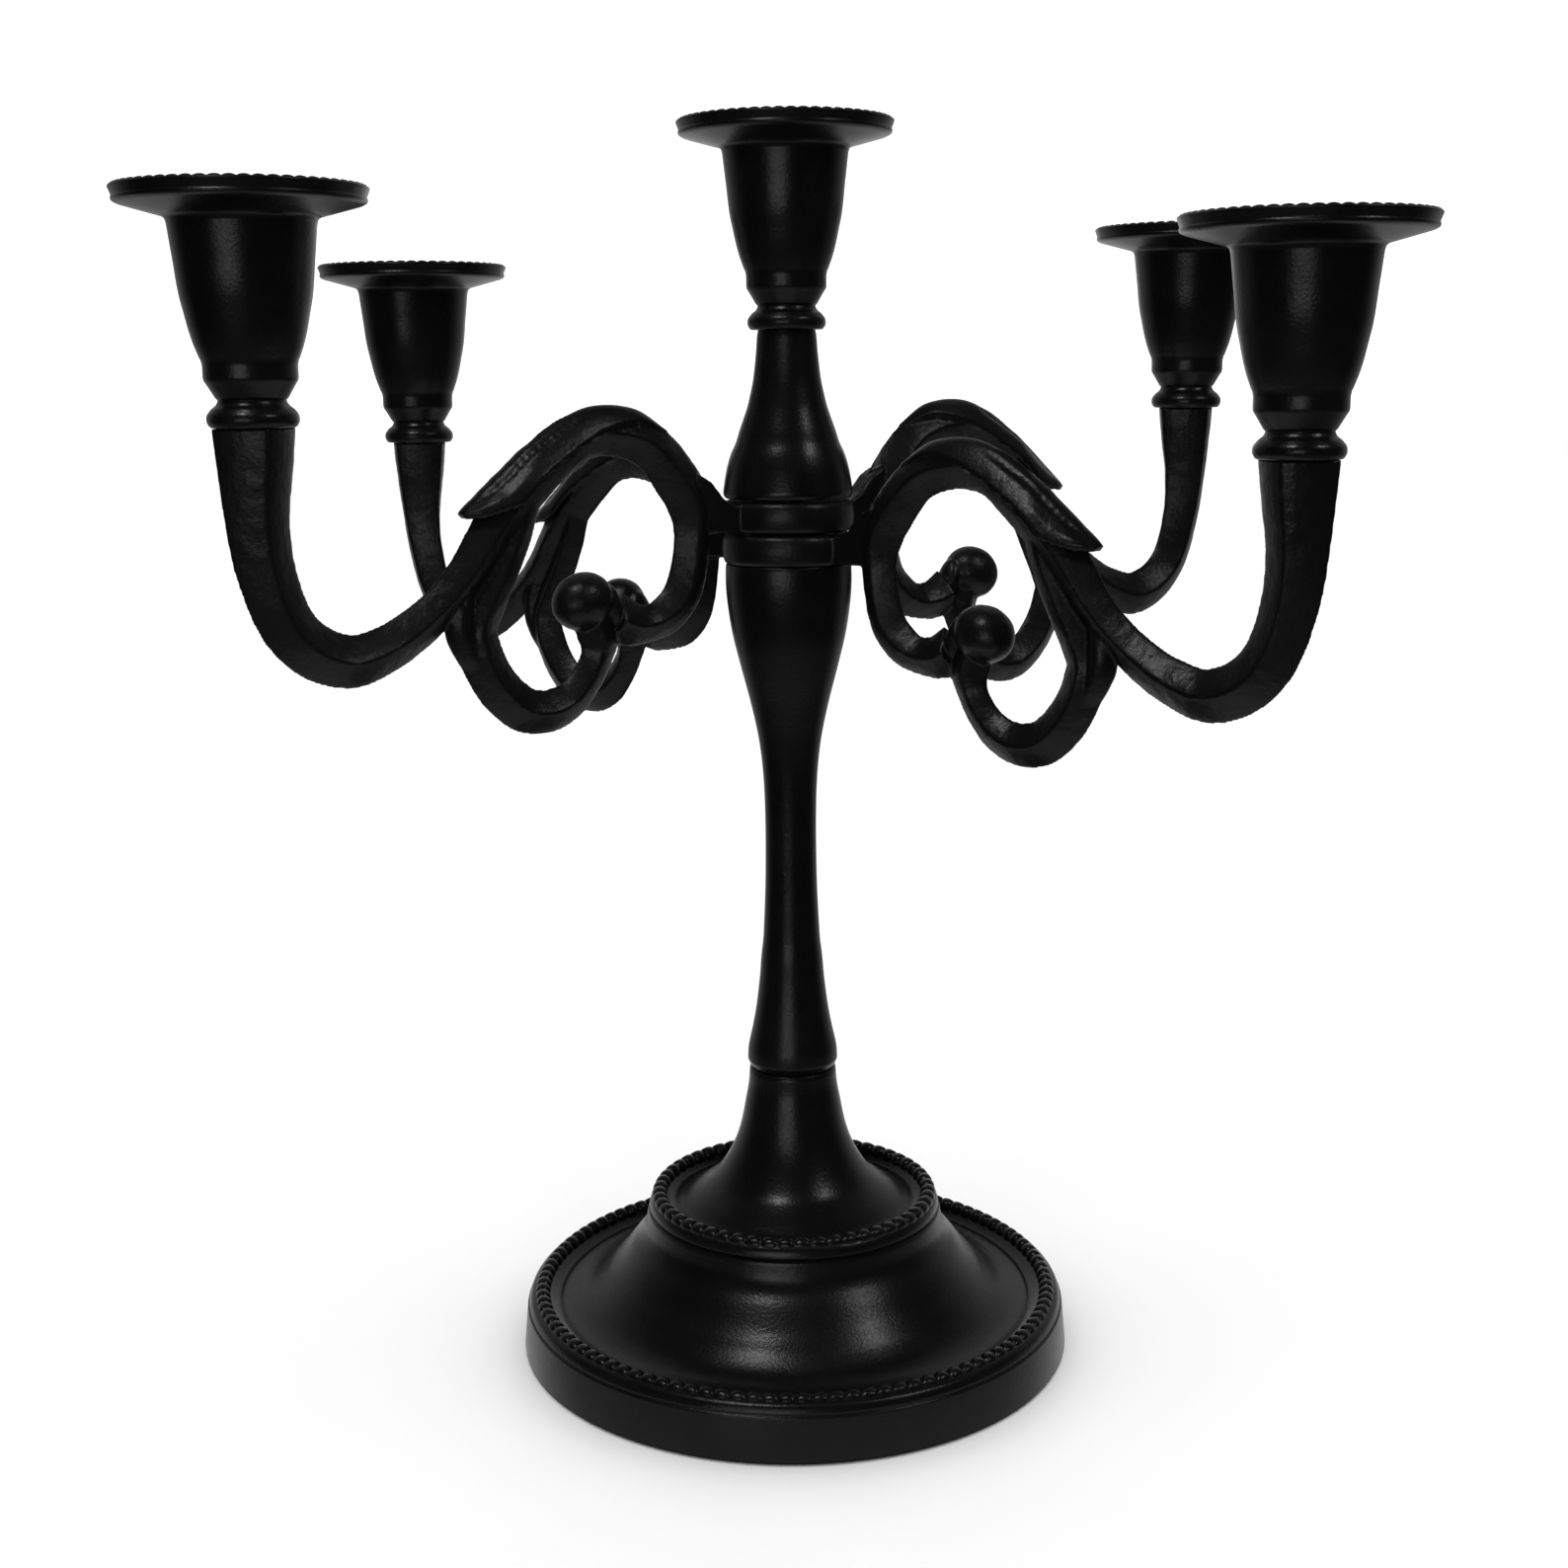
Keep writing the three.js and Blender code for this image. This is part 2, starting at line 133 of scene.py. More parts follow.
def finish_mesh(mesh, sharp_degrees):
    work = bmesh.new()
    work.from_mesh(mesh)
    bmesh.ops.recalc_face_normals(work, faces=work.faces)
    limit = math.radians(sharp_degrees)
    for face in work.faces:
        face.smooth = True
    for edge in work.edges:
        edge.smooth = len(edge.link_faces) == 2 and edge.calc_face_angle(0) < limit
    work.to_mesh(mesh)
    work.free()


def grid_faces(rows, columns):
    """Quads between rows of points that close round on themselves."""
    faces = []
    for r in range(rows - 1):
        for c in range(columns):
            d = (c + 1) % columns
            a, b = r * columns, (r + 1) * columns
            faces.append((a + c, a + d, b + d, b + c))
    return faces


def closing_faces(rows, columns):
    """Quads that join the last row of points to the first."""
    tail = (rows - 1) * columns
    faces = []
    for c in range(columns):
        d = (c + 1) % columns
        faces.append((tail + c, tail + d, d, c))
    return faces


def end_fans(rows, columns):
    """Triangles from two end points, listed after the grid, to its first and last rows."""
    first, last = rows * columns, rows * columns + 1
    tail = (rows - 1) * columns
    faces = []
    for c in range(columns):
        d = (c + 1) % columns
        faces.append((first, d, c))
        faces.append((last, tail + c, tail + d))
    return faces


def revolve(profile, sides):
    """Vertices and faces of a solid of revolution; the profile starts and ends on the axis."""
    angles = np.arange(sides) * 2 * math.pi / sides
    inner = np.asarray(profile)[1:-1]
    ring = np.stack([np.cos(angles), np.sin(angles)], axis=1)
    vertices = np.concatenate([
        np.column_stack([ring * radius, np.full(sides, height)]) for radius, height in inner
    ])
    vertices = np.vstack([vertices, [0, 0, profile[0][1]], [0, 0, profile[-1][1]]])
    return vertices, grid_faces(len(inner), sides) + end_fans(len(inner), sides)


def revolve_closed(profile, sides):
    """Vertices and faces of a ring-shaped solid of revolution; the profile closes on itself."""
    angles = np.arange(sides) * 2 * math.pi / sides
    ring = np.stack([np.cos(angles), np.sin(angles)], axis=1)
    profile = np.asarray(profile)
    vertices = np.concatenate([
        np.column_stack([ring * radius, np.full(sides, height)]) for radius, height in profile
    ])
    return vertices, grid_faces(len(profile), sides) + closing_faces(len(profile), sides)


def bead_ring(radius, height, size, beads, around=16):
    """Ring of cast beads: round lobes on the top and inner side, smooth on the outer side."""
    steps = 8  # sections in one bead
    dent = 0.72  # depth of the groove between beads, as a share of the size
    vertices = []
    for s in range(beads * steps):
        theta = s * 2 * math.pi / (beads * steps)
        phase = (s % steps) / steps * 2 - 1
        dip = 1 - math.sqrt(max(0.0, 1 - phase * phase))
        for k in range(around):
            phi = k * 2 * math.pi / around
            inward = 0.5 - 0.5 * math.cos(phi)
            reach = size * (1 - dent * dip * min(1.0, 0.25 + 1.1 * inward))
            r = radius + reach * math.cos(phi)
            vertices.append((r * math.cos(theta), r * math.sin(theta), height + reach * math.sin(phi)))
    rows = beads * steps
    return np.array(vertices), grid_faces(rows, around) + closing_faces(rows, around)


def moved(part, x, y, z):
    vertices, faces = part
    return np.asarray(vertices) + np.array([x, y, z]), faces


def joined(*parts):
    """One list of vertices and faces from several."""
    vertices, faces, offset = [], [], 0
    for part_vertices, part_faces in parts:
        vertices.append(np.asarray(part_vertices))
        faces += [tuple(i + offset for i in face) for face in part_faces]
        offset += len(part_vertices)
    return np.concatenate(vertices), faces


# ---- foot ----------------------------------------------------------------------------------

def foot_profile():
    hollow = curve_through([(9.4, 46.4), (12.9, 39.6), (19.9, 32.8), (26.8, 29), (30.8, 25.5),
                            (36.7, 17.4),
                            (44.7, 8.9), (51.6, 6.7)], 24)
    inside = [(0, 52), (8.6, 52), *hollow, (58, 8)]
    skirt = rounded([(58, 8), (59, 0, 0.8), (62.3, 0, 0.6), (61.4, 9.9, 0.4), (60.9, 10.2, 0.2),
                     (61.05, 10.6, 0.5), (60.5, 12.1, 1.5), (59, 12.9, 1.4), (57, 11.7, 0.8),
                     (55.2, 10.6, 1.2), (54, 10.3, 0.8), (53.2, 10.7, 0.6)])[1:]
    lower_flare = curve_through([(52.6, 10.7), (50.1, 11), (47.2, 12.1), (44, 14.7), (42.1, 16.8),
                                 (40.3, 18.8),
                                 (37.1, 22.9), (35.4, 24.9), (34.2, 27), (33.7, 29), (33.4, 30.6)], 40)
    rim = rounded([(33.3, 30.9), (32.5, 31.2, 0.2), (33.1, 31.7, 0.3), (32.7, 33.6, 1.2), (31.2, 35, 1),
                   (29.5, 33.6, 0.6), (28.1, 32.5, 0.8), (27, 32.5, 0.6)])
    upper_flare = curve_through([(26.4, 32.8), (25.2, 33.3), (22.9, 34.9), (19.9, 37),
                                 (17.8, 38.8), (15.1, 42.7),
                                 (13.2, 46.6), (11.9, 50.6), (10.7, 56.5), (10, 60.4), (9.7, 64)], 44)
    neck = rounded([(9.55, 64.2), (9.45, 64.4, 0.2), (3.4, 64.4), (0, 64.4)])
    return [*inside, *skirt, *lower_flare, *rim, *upper_flare, *neck[:-1], (0, 64.4)]


def make_foot():
    body = revolve(foot_profile(), FOOT_SIDES)
    outer = bead_ring(57.9, 12.1, BEAD_RADIUS, OUTER_BEADS)
    inner = bead_ring(30.7, 34.1, BEAD_RADIUS, INNER_BEADS)
    foot = make_object("foot_casting", *body)
    rings = [make_object("foot_beads_outer", *outer, sharp_degrees=BEAD_CREASE_DEGREES),
             make_object("foot_beads_inner", *inner, sharp_degrees=BEAD_CREASE_DEGREES)]
    return foot, rings


# ---- column and upper stem -----------------------------------------------------------------

def make_column():
    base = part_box("stem_column")[0].z / MM
    shaft = curve_through([(10.1, 66.6), (9.94, 69), (9.02, 73.3), (8.22, 77.5), (7.65, 81.6),
                           (7.18, 85.8),
                           (6.84, 90), (6.38, 94), (6.14, 98), (5.79, 106), (5.65, 114), (5.65, 122),
                           (5.96, 131), (6.82, 139), (8.44, 147), (10.49, 155), (12.41, 163),
                           (13.46, 170.5),
                           (13.66, 174.4), (13.6, 177.2)], 90)
    lip = rounded([(0, base), (9.4, base, 0.4), (10.1, 66.2, 0.8), (10.1, 66.6)])
    head = rounded([(13.6, 177.2), (13.5, 178, 0.4), (8, 178, 0.2), (8, 191.3, 0.2), (0, 191.3)])
    return make_object("column_turning", *revolve([*lip, *shaft, *head], COLUMN_SIDES))


def make_upper_stem():
    low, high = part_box("upper_stem")
    bottom, top = low.z / MM, high.z / MM
    foot = rounded([(0, bottom), (13.4, bottom, 0.5), (13.95, bottom + 0.9, 0.6), (13.9, bottom + 1.8)])
    side = curve_through([(13.9, bottom + 1.8), (13.5, 196.2), (13, 198.7), (12.2, 201.3),
                          (11.1, 203.8),
                          (10.3, 206.3), (9.4, 208.8), (8.55, 211.3), (7.9, 213.9), (7.36, 216.4),
                          (7, 218.9),
                          (6.6, 222.6), (6.3, 226.3), (6.2, top - 0.2)], 60)
    head = rounded([(6.2, top - 0.2), (6.15, top + SEAM_FILL, 0.2), (0, top + SEAM_FILL)])
    return make_object("upper_stem_turning", *revolve([*foot, *side, *head], UPPER_STEM_SIDES))


# ---- candle cups ---------------------------------------------------------------------------

def cup_profile():
    flange = rounded([(0, 0), (7.7, 0, 0.4), (8.35, 1, 0.7), (8.3, 2.3, 0.8), (7.4, 3.4)])
    waist = rounded([(7.4, 3.4), (6.5, 4.1, 0.5), (6.2, 4.7, 0.3), (6.15, 5, 0.1), (6.5, 5.3, 0.2),
                     (7.9, 7.7, 0.5), (8.5, 8.6, 0.5), (8.5, 11.2, 0.4), (8.7, 12.1, 0.2)])
    bowl = curve_through([(8.95, 12.6), (9.85, 15.1), (10.6, 17.9), (11.15, 20.5), (11.7, 23.1),
                          (12.05, 25.5),
                          (12.45, 29.4), (12.75, 32), (13.2, 36)], 30)
    ledge = rounded([(13.2, 36), (13.45, 36.9, 0.3), (14, 37.3, 0.3), (21.6, 39.4, 0.4),
                     (22.3, 39.8, 0.3),
                     (22.4, 40.3, 0.2), (22.2, 40.6, 0.2), (22.85, 42.3, 0.3), (22.3, 42.6, 0.3),
                     (20.6, 41.6, 0.5)])
    dish = rounded([(20.6, 41.6), (20.2, 41.2, 0.6), (12.6, 38.3, 0.5), (11.4, 38.2, 0.6),
                    (11, 37.3, 0.6)])
    socket = [(10.2, 24), (9.1, 19.5), (8.3, 16.8), (7.8, 16)]
    return [*flange, *waist, *bowl, *ledge, *dish, *socket, (0, 16)]


def make_cups():
    cups = {}
    shape = revolve(cup_profile(), CUP_SIDES)
    beads = bead_ring(21.85, 42.0, PAN_BEAD_RADIUS, PAN_BEADS, around=12)
    for place in CUP_PLACES:
        x, y, z = centre_and_base(f"cup_{place}")
        cup = make_object(f"cup_turning_{place}", *moved(shape, x, y, z))
        ring = make_object(f"cup_beads_{place}", *moved(beads, x, y, z),
                           sharp_degrees=BEAD_CREASE_DEGREES)
        cups[place] = (cup, ring)
    return cups


# ---- arm castings --------------------------------------------------------------------------
# An arm lies in its own X-Z plane: x is the distance from the column's axis and z the height
# above the underside of its collar. Rows are (x, z, half depth in the plane).

MAIN_STRAND = [
    (43, -16, 5.4), (38.9, -17.5, 4.6), (35, -17.5, 4), (30.9, -15.9, 4.4), (26.8, -11.5, 4.6),
    (24.3, -0.1, 4.5), (24.8, 6.4, 5.3), (28.9, 13.2, 5.3), (34.2, 18.8, 4.9), (39.9, 21.2, 4.9),
    (45.7, 21.8, 4.9), (51.9, 20.6, 5), (57.4, 16.9, 5.4), (67.8, 6.3, 5.2), (76.4, -5.2, 4.4),
    (81.1, -10, 4.2), (86.9, -14.5, 4.4), (92.7, -17.8, 4.7), (100.8, -20.1, 5.2), (107.9, -17.8, 5.4),
    (113.1, -12.5, 5.5), (116.8, -2, 5.8), (117.9, 8, 6.3), (117.7, 18, 7.4),
    (117.6, 24.22, 8.0),
]
SCROLL_STRAND = [
    (57.7, 16, 2.3), (62.3, 9.8, 3.2), (65.4, 2.2, 3.7), (69, -5.2, 3.9), (72.3, -11.2, 4.2),
    (74.5, -16, 4.5),
    (74.1, -20, 4.8), (72.9, -23.4, 4.8), (71, -26.8, 4.8), (68.2, -30.2, 4.8), (65, -32.7, 4.7),
    (61.5, -33.7, 4.6), (57.6, -33.4, 4.4), (53.8, -31.6, 4.1), (50.5, -28.3, 3.8), (48, -24, 3.8),
    (47.2, -19.5, 4.8), (49.2, -14.5, 4.4),
]
WEB_STRAND = [(76.3, -6, 1.5), (78, -11.5, 3), (78, -16.5, 3.2), (76.2, -21.5, 2.6), (73.5, -26, 1.5)]
ARM_TOP = 24
SEAM_FILL = 0.22  # how far a piece's top reaches into the seam above it
SLENDERNESS = 0.78  # half width across the plane over half depth in it
SECTION_POWER = 1.15  # 1 is a sharp lozenge and 2 an ellipse
RISER_START = 105  # distance from the column's axis
RISER_SWELL_START = -6
RISER_SWELL_HEIGHT = 28
RISER_SWELL = 0.15


def smooth_share(share):
    """Smooth step from 0 to 1 as the share goes from 0 to 1."""
    share = min(1.0, max(0.0, share))
    return share * share * (3 - 2 * share)


def riser_share(x, z):
    """0 along the arm and up to 1 at the top of the riser, where the section grows fuller."""
    if x < RISER_START:
        return 0.0
    return smooth_share((z - RISER_SWELL_START) / RISER_SWELL_HEIGHT)


def strand(rows, count, around=28, slenderness=SLENDERNESS, power=SECTION_POWER):
    """Sweep of a lozenge section along a curve in the arm's plane."""
    line = curve_through(rows, count)
    tangent = np.gradient(line[:, :2], axis=0)
    tangent /= np.linalg.norm(tangent, axis=1)[:, None]
    vertices = []
    for (x, z, depth), (tx, tz) in zip(line, tangent):
        full = riser_share(x, z)
        blunt = power + RISER_SWELL * full
        across = depth * (slenderness + RISER_SWELL * full)
        for k in range(around):
            phi = 2 * math.pi * k / around
            c, s = math.cos(phi), math.sin(phi)
            deep = depth * math.copysign(abs(c) ** (2 / blunt), c)
            wide = across * math.copysign(abs(s) ** (2 / blunt), s)
            vertices.append((x - tz * deep, wide, z + tx * deep))
    vertices.append((line[0][0], 0, line[0][1]))
    vertices.append((line[-1][0], 0, line[-1][1]))
    return np.array(vertices), grid_faces(len(line), around) + end_fans(len(line), around)


# Rows of the leaf are (x, z of the crest, half width, drop from crest to edge).
LEAF = [
    (30, 22, 0.8, 0.6), (36.6, 26.1, 2.8, 1.8), (40.5, 27.1, 3.5, 2.9), (44.6, 27.4, 4, 4),
    (49, 26.9, 4.3, 4.8), (53, 25.4, 4.6, 5.2), (58, 22.6, 5, 5.3), (63.9, 18.7, 5.7, 5.3),
    (67.1, 16, 6, 5.6), (69.9, 13.7, 5.9, 5.9), (72.5, 11.5, 5.2, 4.7), (75, 9.4, 4.1, 3.3),
    (76.5, 8.2, 2.9, 2.3), (77.6, 7.2, 1.4, 1.2),
]
LEAF_THICKNESS = 1.7
LEAF_CURVE = 1.9  # power of the fall from crest to edge
VEIN_DEPTH = 0.4
VEIN_PLACE = 0.42  # share of the half width
VEIN_HALF_WIDTH = 0.5
PIT_SHARE = 0.7
PIT_PACE = 4.4  # radians along the leaf for each millimetre
LIP_HEIGHT = 0.55


def leaf():
    """Acanthus leaf that saddles the curl, with a stippled groove along each side and a raised lip."""
    line = curve_through(LEAF, 150)
    tangent = np.gradient(line[:, :2], axis=0)
    tangent /= np.linalg.norm(tangent, axis=1)[:, None]
    across = 33
    vertices = []
    for (x, z, width, drop), (tx, tz) in zip(line, tangent):
        vein = VEIN_DEPTH * window(x, 50, 55, 72, 76)
        pits = PIT_SHARE * vein * (0.5 + 0.5 * math.sin(x * PIT_PACE)) ** 2
        lip = LIP_HEIGHT * window(x, 63, 68, 79, 80)
        top, under = [], []
        for k in range(across):
            u = 2 * k / (across - 1) - 1
            fall = -drop * abs(u) ** LEAF_CURVE
            groove = (vein + pits) * math.exp(-(((abs(u) - VEIN_PLACE) * width / VEIN_HALF_WIDTH) ** 2))
            top.append((u * width, fall - groove + lip * window(abs(u), 0.62, 0.84, 1.0, 1.4)))
            under.append((u * width * 0.96, fall - LEAF_THICKNESS * (1.15 - 0.55 * abs(u))))
        for wide, up in top + under[::-1]:
            vertices.append((x - tz * up, wide, z + tx * up))
    around = 2 * across
    faces = grid_faces(len(line), around)
    faces.append(tuple(range(around)))
    tail = (len(line) - 1) * around
    faces.append(tuple(range(tail + around - 1, tail - 1, -1)))
    return np.array(vertices), faces


def window(x, rise_start, rise_end, fall_start, fall_end):
    """Goes smoothly from 0 to 1 and back to 0."""
    rise = smooth_share((x - rise_start) / (rise_end - rise_start))
    return rise * smooth_share((fall_end - x) / (fall_end - fall_start))


def ball(x, z, length, height, width, turn, around=32):
    """Ellipsoid in the arm's plane, turned by an angle in degrees."""
    profile = [(math.sin(a), -math.cos(a)) for a in np.linspace(0, math.pi, around // 2 + 1)]
    profile[0], profile[-1] = (0, -1), (0, 1)
    vertices, faces = revolve(profile, around)
    vertices = vertices * np.array([length, width, height])
    c, s = math.cos(math.radians(turn)), math.sin(math.radians(turn))
    along = vertices[:, 0] * c - vertices[:, 2] * s + x
    up = vertices[:, 0] * s + vertices[:, 2] * c + z
    return np.column_stack([along, vertices[:, 1], up]), faces


def plate(outline, half_thickness):
    """Flat plate in the arm's plane."""
    count = len(outline)
    vertices = [(x, side * half_thickness, z) for side in (-1, 1) for x, z in outline]
    faces = [tuple(range(count)), tuple(range(2 * count - 1, count - 1, -1))]
    for c in range(count):
        d = (c + 1) % count
        faces.append((c, count + c, count + d, d))
    return np.array(vertices), faces


LUG_OUTLINE = [(12, 0.5), (22.5, 0.5), (24, 13), (20.6, 11), (17.8, 7.6), (15.5, 6.2), (12, 6.2)]
LUG_HALF_THICKNESS = 2.7


def arm_parts():
    bud = ball(50.7, -11.9, 6.6, 5.8, 5.7, -25)
    knuckle = ball(44, -13.5, 2.0, 5.0, 3.0, -12)
    return [
        strand(MAIN_STRAND, 220),
        strand(SCROLL_STRAND, 120),
        leaf(),
        bud,
        knuckle,
        strand(WEB_STRAND, 40, slenderness=1.0, power=1.6),
        plate(LUG_OUTLINE, LUG_HALF_THICKNESS),
    ]


COLLAR_HEIGHT = 6.7


def collar_part():
    edge = rounded([(8.1, 0), (13.3, 0, 0.5), (14, 0.8, 0.7), (14.35, 3.4, 1.5), (14, 5.9, 0.7),
                    (13.3, COLLAR_HEIGHT, 0.5), (8.1, COLLAR_HEIGHT)])
    return revolve_closed(edge, COLUMN_SIDES)


def turned_half(part):
    """The same part on the other side of the column."""
    vertices, faces = part
    return vertices * np.array([-1, -1, 1]), faces


VOXEL = 0.4
LUMP_DEPTH = 0.09
LUMP_SIZE = 2.6
COLLAR_REACH = 15  # everything nearer to the axis than this is collar


def fused(name, part, voxel):
    """One closed skin round overlapping solids."""
    obj = make_object(name, *part)
    modifier = obj.modifiers.new("fuse", "REMESH")
    modifier.mode = "VOXEL"
    modifier.voxel_size = voxel * MM
    modifier.use_smooth_shade = True
    bpy.context.view_layer.update()
    evaluated = obj.evaluated_get(bpy.context.evaluated_depsgraph_get())
    mesh = bpy.data.meshes.new_from_object(evaluated)
    obj.modifiers.clear()
    obj.data = mesh
    return obj


def soften(mesh):
    """One pass that takes the steps of the fused skin down."""
    work = bmesh.new()
    work.from_mesh(mesh)
    axes = {"use_axis_x": True, "use_axis_y": True, "use_axis_z": True}
    bmesh.ops.smooth_vert(work, verts=work.verts, factor=0.5, **axes)
    work.to_mesh(mesh)
    work.free()


def roughen(mesh, depth, size):
    """Moves the skin in and out by the lumps of a sand casting; the collar and the seats stay true."""
    count = len(mesh.vertices)
    points = np.empty(count * 3)
    normals = np.empty(count * 3)
    mesh.vertices.foreach_get("co", points)
    mesh.vertices.foreach_get("normal", normals)
    points = points.reshape(-1, 3)
    normals = normals.reshape(-1, 3)
    for i in range(count):
        x, y, z = points[i] / MM
        away = math.hypot(x, y)
        keep = min(1.0, max(0.0, (away - COLLAR_REACH) / 6)) * min(1.0, max(0.0, (23 - z) / 3))
        broad = noise.noise(Vector((x, y, z)) / size)
        fine = noise.noise(Vector((x, y, z)) / (size * 0.3))
        points[i] += normals[i] * (broad + 0.35 * fine) * depth * keep * MM
    mesh.vertices.foreach_set("co", points.ravel())
    mesh.update()


def make_castings():
    arm = joined(*arm_parts())
    whole = joined(arm, turned_half(arm), collar_part())
    model = fused("arm_casting", whole, VOXEL)
    soften(model.data)
    roughen(model.data, LUMP_DEPTH, LUMP_SIZE)
    trim_flat(model.data)
    castings = {}
    for which, cup in (("lower", "cup_front_right"), ("upper", "cup_rear_right")):
        base = centre_and_base(cup)[2] - ARM_TOP - CUP_SEAM
        obj = bpy.data.objects.new(f"{which}_arms_casting", model.data.copy())
        bpy.context.scene.collection.objects.link(obj)
        place = Matrix.Translation((0, 0, base * MM)) @ Matrix.Rotation(angle_of(cup), 4, "Z")
        obj.data.transform(place)
        castings[which] = obj
    bpy.data.objects.remove(model)
    return castings


def trim_flat(mesh):
    """Cuts the arm tops and both faces of the collar flat."""
    for vertex in mesh.vertices:
        x, y, z = vertex.co / MM
        away = math.hypot(x, y)
        if away > RISER_START + 1 and z > ARM_TOP - 0.1:
            vertex.co.z = (ARM_TOP + SEAM_FILL) * MM
        if away < COLLAR_REACH:
            vertex.co.z = min(max(z, 0), COLLAR_HEIGHT) * MM


# ---- materials -----------------------------------------------------------------------------

class Nodes:
    """Short way to add and link shader nodes."""

    def __init__(self, name):
        self.material = bpy.data.materials.new(name)
        self.material.use_nodes = True
        self.tree = self.material.node_tree
        self.tree.nodes.clear()
        self.output = self.add("ShaderNodeOutputMaterial")
        self.shader = self.add("ShaderNodeBsdfPrincipled")
        self.link(self.shader.outputs[0], self.output.inputs["Surface"])
        self.place = self.add("ShaderNodeTexCoord").outputs["Object"]

    def add(self, kind, **settings):
        node = self.tree.nodes.new(kind)
        for key, value in settings.items():
            setattr(node, key, value)
        return node

    def link(self, source, target):
        self.tree.links.new(source, target)

    def noise(self, scale, detail=2.0, roughness=0.5, stretch=None):
        node = self.add("ShaderNodeTexNoise")
        node.inputs["Scale"].default_value = scale
        node.inputs["Detail"].default_value = detail
        node.inputs["Roughness"].default_value = roughness
        source = self.place
        if stretch is not None:
            mapping = self.add("ShaderNodeMapping")
            mapping.inputs["Scale"].default_value = stretch
            self.link(self.place, mapping.inputs["Vector"])
            source = mapping.outputs[0]
        self.link(source, node.inputs["Vector"])
        return node.outputs["Fac"]

    def ramp(self, source, stops):
        node = self.add("ShaderNodeValToRGB")
        elements = node.color_ramp.elements
        while len(elements) > 1:
            elements.remove(elements[-1])
        for i, (position, colour) in enumerate(stops):
            element = elements[0] if i == 0 else elements.new(position)
            element.position = position
            element.color = (*colour, 1)
        self.link(source, node.inputs[0])
        return node.outputs[0]

    def spread(self, source, low, high):
        """Stretches the middle of a noise to the range from low to high."""
        node = self.add("ShaderNodeMapRange")
        node.inputs["From Min"].default_value = 0.3
        node.inputs["From Max"].default_value = 0.7
        node.inputs["To Min"].default_value = low
        node.inputs["To Max"].default_value = high
        self.link(source, node.inputs["Value"])
        return node.outputs[0]

    def bump(self, source, distance, below=None):
        node = self.add("ShaderNodeBump")
        node.inputs["Distance"].default_value = distance
        node.inputs["Strength"].default_value = 1.0
        self.link(source, node.inputs["Height"])
        if below is not None:
            self.link(below, node.inputs["Normal"])
        return node.outputs[0]


def satin_black(name, grain, grain_depth, lumps_depth, rough_low, rough_high):
    """Satin black paint: uneven sheen and a fine grain over the low lumps of the casting."""
    n = Nodes(name)
    blacks = [(0.3, (0.0006, 0.0006, 0.0007)), (0.7, (0.0016, 0.0016, 0.0017))]
    tone = n.ramp(n.noise(90, 3), blacks)
    n.link(tone, n.shader.inputs["Base Color"])
    sheen = n.noise(70, 2)
    n.link(n.spread(sheen, rough_low, rough_high), n.shader.inputs["Roughness"])
    lumps = n.bump(n.noise(320, 2), lumps_depth)
    peel = n.bump(n.noise(grain, 3, 0.6), grain_depth, below=lumps)
    n.link(peel, n.shader.inputs["Normal"])
    n.shader.inputs["Metallic"].default_value = 0.0
    n.shader.inputs["IOR"].default_value = 1.42
    return n.material


def zinc_plate(name):
    n = Nodes(name)
    tone = n.ramp(n.noise(400, 3), [(0.35, (0.42, 0.43, 0.45)), (0.7, (0.6, 0.61, 0.63))])
    n.link(tone, n.shader.inputs["Base Color"])
    n.link(n.spread(n.noise(700, 2), 0.25, 0.42), n.shader.inputs["Roughness"])
    n.link(n.bump(n.noise(1500, 2, stretch=(1, 1, 6)), 0.00003), n.shader.inputs["Normal"])
    n.shader.inputs["Metallic"].default_value = 1.0
    return n.material


def pale_floor(name):
    n = Nodes(name)
    tone = n.ramp(n.noise(6, 2), [(0.3, (0.84, 0.84, 0.84)), (0.7, (0.86, 0.86, 0.86))])
    n.link(tone, n.shader.inputs["Base Color"])
    n.link(n.spread(n.noise(40, 2), 0.75, 0.85), n.shader.inputs["Roughness"])
    return n.material


def paint(obj, material):
    obj.data.materials.clear()
    obj.data.materials.append(material)


# ---- studio --------------------------------------------------------------------------------

FLOOR_CLEARANCE = 0.0004
DOME_STRENGTH = 1.3
TABLE_GLOW_WIDTH = 0.4  # the lit table top that the lowest surfaces mirror
# Each row is an axis of the reflected direction, where its smooth ramp starts and ends, and the
# strength that the ramp adds. Only glossy rays see it.
MIRRORED_ROOM = [("Y", 0.1, 0.85, 0.42), ("Y", 0.9, 1.0, 0.65), ("Z", -0.3, -0.7, 0.14)]


def add_floor(material):
    half = 6.0
    mesh = bpy.data.meshes.new("studio_floor")
    corners = [(-half, -half, 0), (half, -half, 0), (half, half, 0), (-half, half, 0)]
    mesh.from_pydata(corners, [], [(0, 1, 2, 3)])
    floor = bpy.data.objects.new("studio_floor", mesh)
    bpy.context.scene.collection.objects.link(floor)
    floor.location.z = -FLOOR_CLEARANCE
    paint(floor, material)
    floor.visible_glossy = False


def add_area(name, place, target, width, height, power):
    light = bpy.data.lights.new(name, "AREA")
    light.shape = "RECTANGLE"
    light.size = width
    light.size_y = height
    light.energy = power
    obj = bpy.data.objects.new(name, light)
    bpy.context.scene.collection.objects.link(obj)
    obj.location = place
    obj.rotation_euler = (Vector(target) - Vector(place)).to_track_quat("-Z", "Y").to_euler()
    return obj


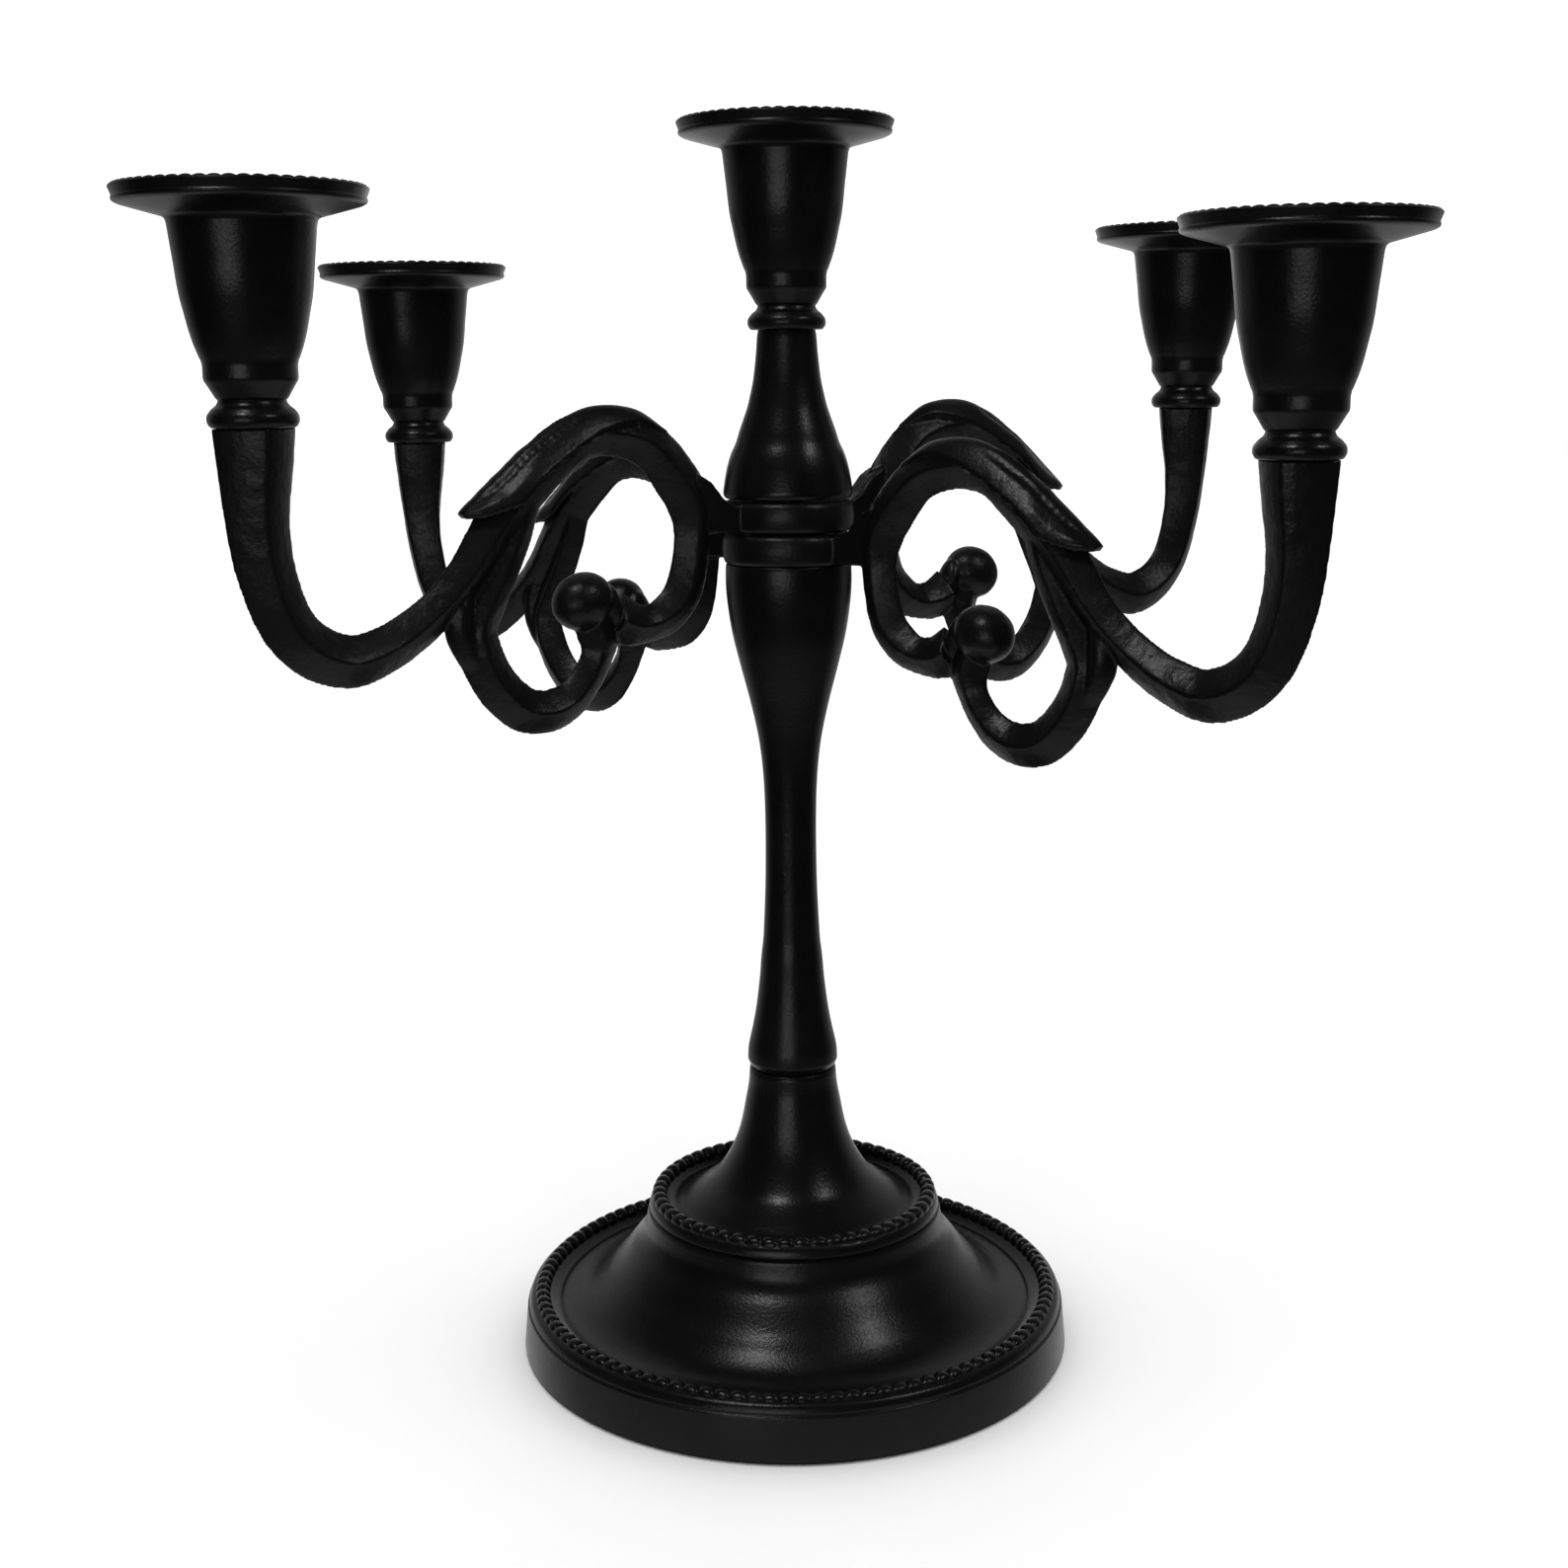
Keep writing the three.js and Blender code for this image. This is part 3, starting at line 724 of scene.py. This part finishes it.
def add_world():
    """White dome that lights the scene, and for glossy rays a room that is bright behind the object."""
    world = bpy.data.worlds.new("studio")
    bpy.context.scene.world = world
    world.use_nodes = True
    tree = world.node_tree
    tree.nodes.clear()
    output = tree.nodes.new("ShaderNodeOutputWorld")
    dome = tree.nodes.new("ShaderNodeBackground")
    mirrored = tree.nodes.new("ShaderNodeBackground")
    mix = tree.nodes.new("ShaderNodeMixShader")
    path = tree.nodes.new("ShaderNodeLightPath")
    coordinate = tree.nodes.new("ShaderNodeTexCoord")
    split = tree.nodes.new("ShaderNodeSeparateXYZ")
    dome.inputs["Color"].default_value = (1, 1, 1, 1)
    dome.inputs["Strength"].default_value = DOME_STRENGTH
    tree.links.new(coordinate.outputs["Generated"], split.inputs[0])
    total = None
    for axis, start, end, strength in MIRRORED_ROOM:
        ramp = tree.nodes.new("ShaderNodeMapRange")
        ramp.interpolation_type = "SMOOTHSTEP"
        ramp.inputs["From Min"].default_value = start
        ramp.inputs["From Max"].default_value = end
        ramp.inputs["To Max"].default_value = strength
        tree.links.new(split.outputs[axis], ramp.inputs["Value"])
        if total is None:
            total = ramp.outputs[0]
            continue
        add = tree.nodes.new("ShaderNodeMath")
        tree.links.new(total, add.inputs[0])
        tree.links.new(ramp.outputs[0], add.inputs[1])
        total = add.outputs[0]
    tree.links.new(total, mirrored.inputs["Strength"])
    tree.links.new(path.outputs["Is Glossy Ray"], mix.inputs[0])
    tree.links.new(dome.outputs[0], mix.inputs[1])
    tree.links.new(mirrored.outputs[0], mix.inputs[2])
    tree.links.new(mix.outputs[0], output.inputs[0])


def add_lights():
    centre = (0, 0, 0.15)
    lamps = [add_area("overhead_left", (-0.34, -0.55, 1.18), centre, 0.16, 0.14, 2.6),
             add_area("overhead_right", (0.75, -0.49, 0.97), centre, 0.14, 0.12, 1.3),
             add_area("front_low", (-0.4, -1.5, 0.12), centre, 0.8, 0.16, 1.5),
             add_area("front_high", (-0.3, -1.5, 0.42), centre, 0.6, 0.16, 0.5)]
    table = add_area("table_glow", (0, 0, 0.0005), (0, 0, 1), TABLE_GLOW_WIDTH, TABLE_GLOW_WIDTH, 0.12)
    table.data.shape = "DISK"
    for lamp in (*lamps, table):
        lamp.visible_diffuse = False
        lamp.visible_camera = False


CAMERA_PLACE = (0, -0.4505, 0.2178)
CAMERA_LENS = 47.72
CAMERA_PITCH = 11.13
CAMERA_YAW = 0.18
CAMERA_ROLL = -0.51


def add_camera():
    data = bpy.data.cameras.new("view")
    data.sensor_width = 36.0
    data.lens = CAMERA_LENS
    data.clip_start = 0.01
    camera = bpy.data.objects.new("view", data)
    bpy.context.scene.collection.objects.link(camera)
    turn = Matrix.Rotation(math.radians(CAMERA_YAW), 4, "Z")
    tip = Matrix.Rotation(math.radians(90 - CAMERA_PITCH), 4, "X")
    lean = Matrix.Rotation(math.radians(CAMERA_ROLL), 4, "Z")
    camera.matrix_world = Matrix.Translation(CAMERA_PLACE) @ turn @ tip @ lean
    bpy.context.scene.camera = camera


# ---- assembly ------------------------------------------------------------------------------

def place_piece(obj, body, slot, material, *nodes):
    paint(obj, material)
    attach(obj, body)
    if nodes:
        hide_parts(*nodes)


turned_black = satin_black("satin_black_turned", 1500, 0.00005, 0.00003, 0.25, 0.31)
cast_black = satin_black("satin_black_cast", 1100, 0.00009, 0.00006, 0.31, 0.4)
zinc = zinc_plate("zinc_plate_steel")

foot, foot_rings = make_foot()
place_piece(foot, "stand", "satin_black_paint", turned_black, "base_foot")
for ring in foot_rings:
    place_piece(ring, "stand", "satin_black_paint", turned_black)
place_piece(make_column(), "stand", "satin_black_paint", turned_black, "stem_column")
place_piece(make_upper_stem(), "stand", "satin_black_paint", turned_black, "upper_stem")
castings = make_castings()
place_piece(castings["lower"], "lower_arms", "satin_black_textured", cast_black, "lower_arm_casting")
place_piece(castings["upper"], "upper_arms", "satin_black_textured", cast_black, "upper_arm_casting")
for place, (cup, ring) in make_cups().items():
    place_piece(cup, f"cup_{place}", "satin_black_paint", turned_black, f"cup_{place}")
    place_piece(ring, f"cup_{place}", "satin_black_paint", turned_black)
steel_nodes = ["tie_rod", "plate_washer", "lock_washer", "base_nut"]
for node in (*steel_nodes, *(f"stud_{p}" for p in CUP_PLACES)):
    paint(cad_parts[node], zinc)

add_floor(pale_floor("pale_floor"))
add_world()
add_lights()
add_camera()
bpy.context.scene.view_settings.view_transform = "Standard"
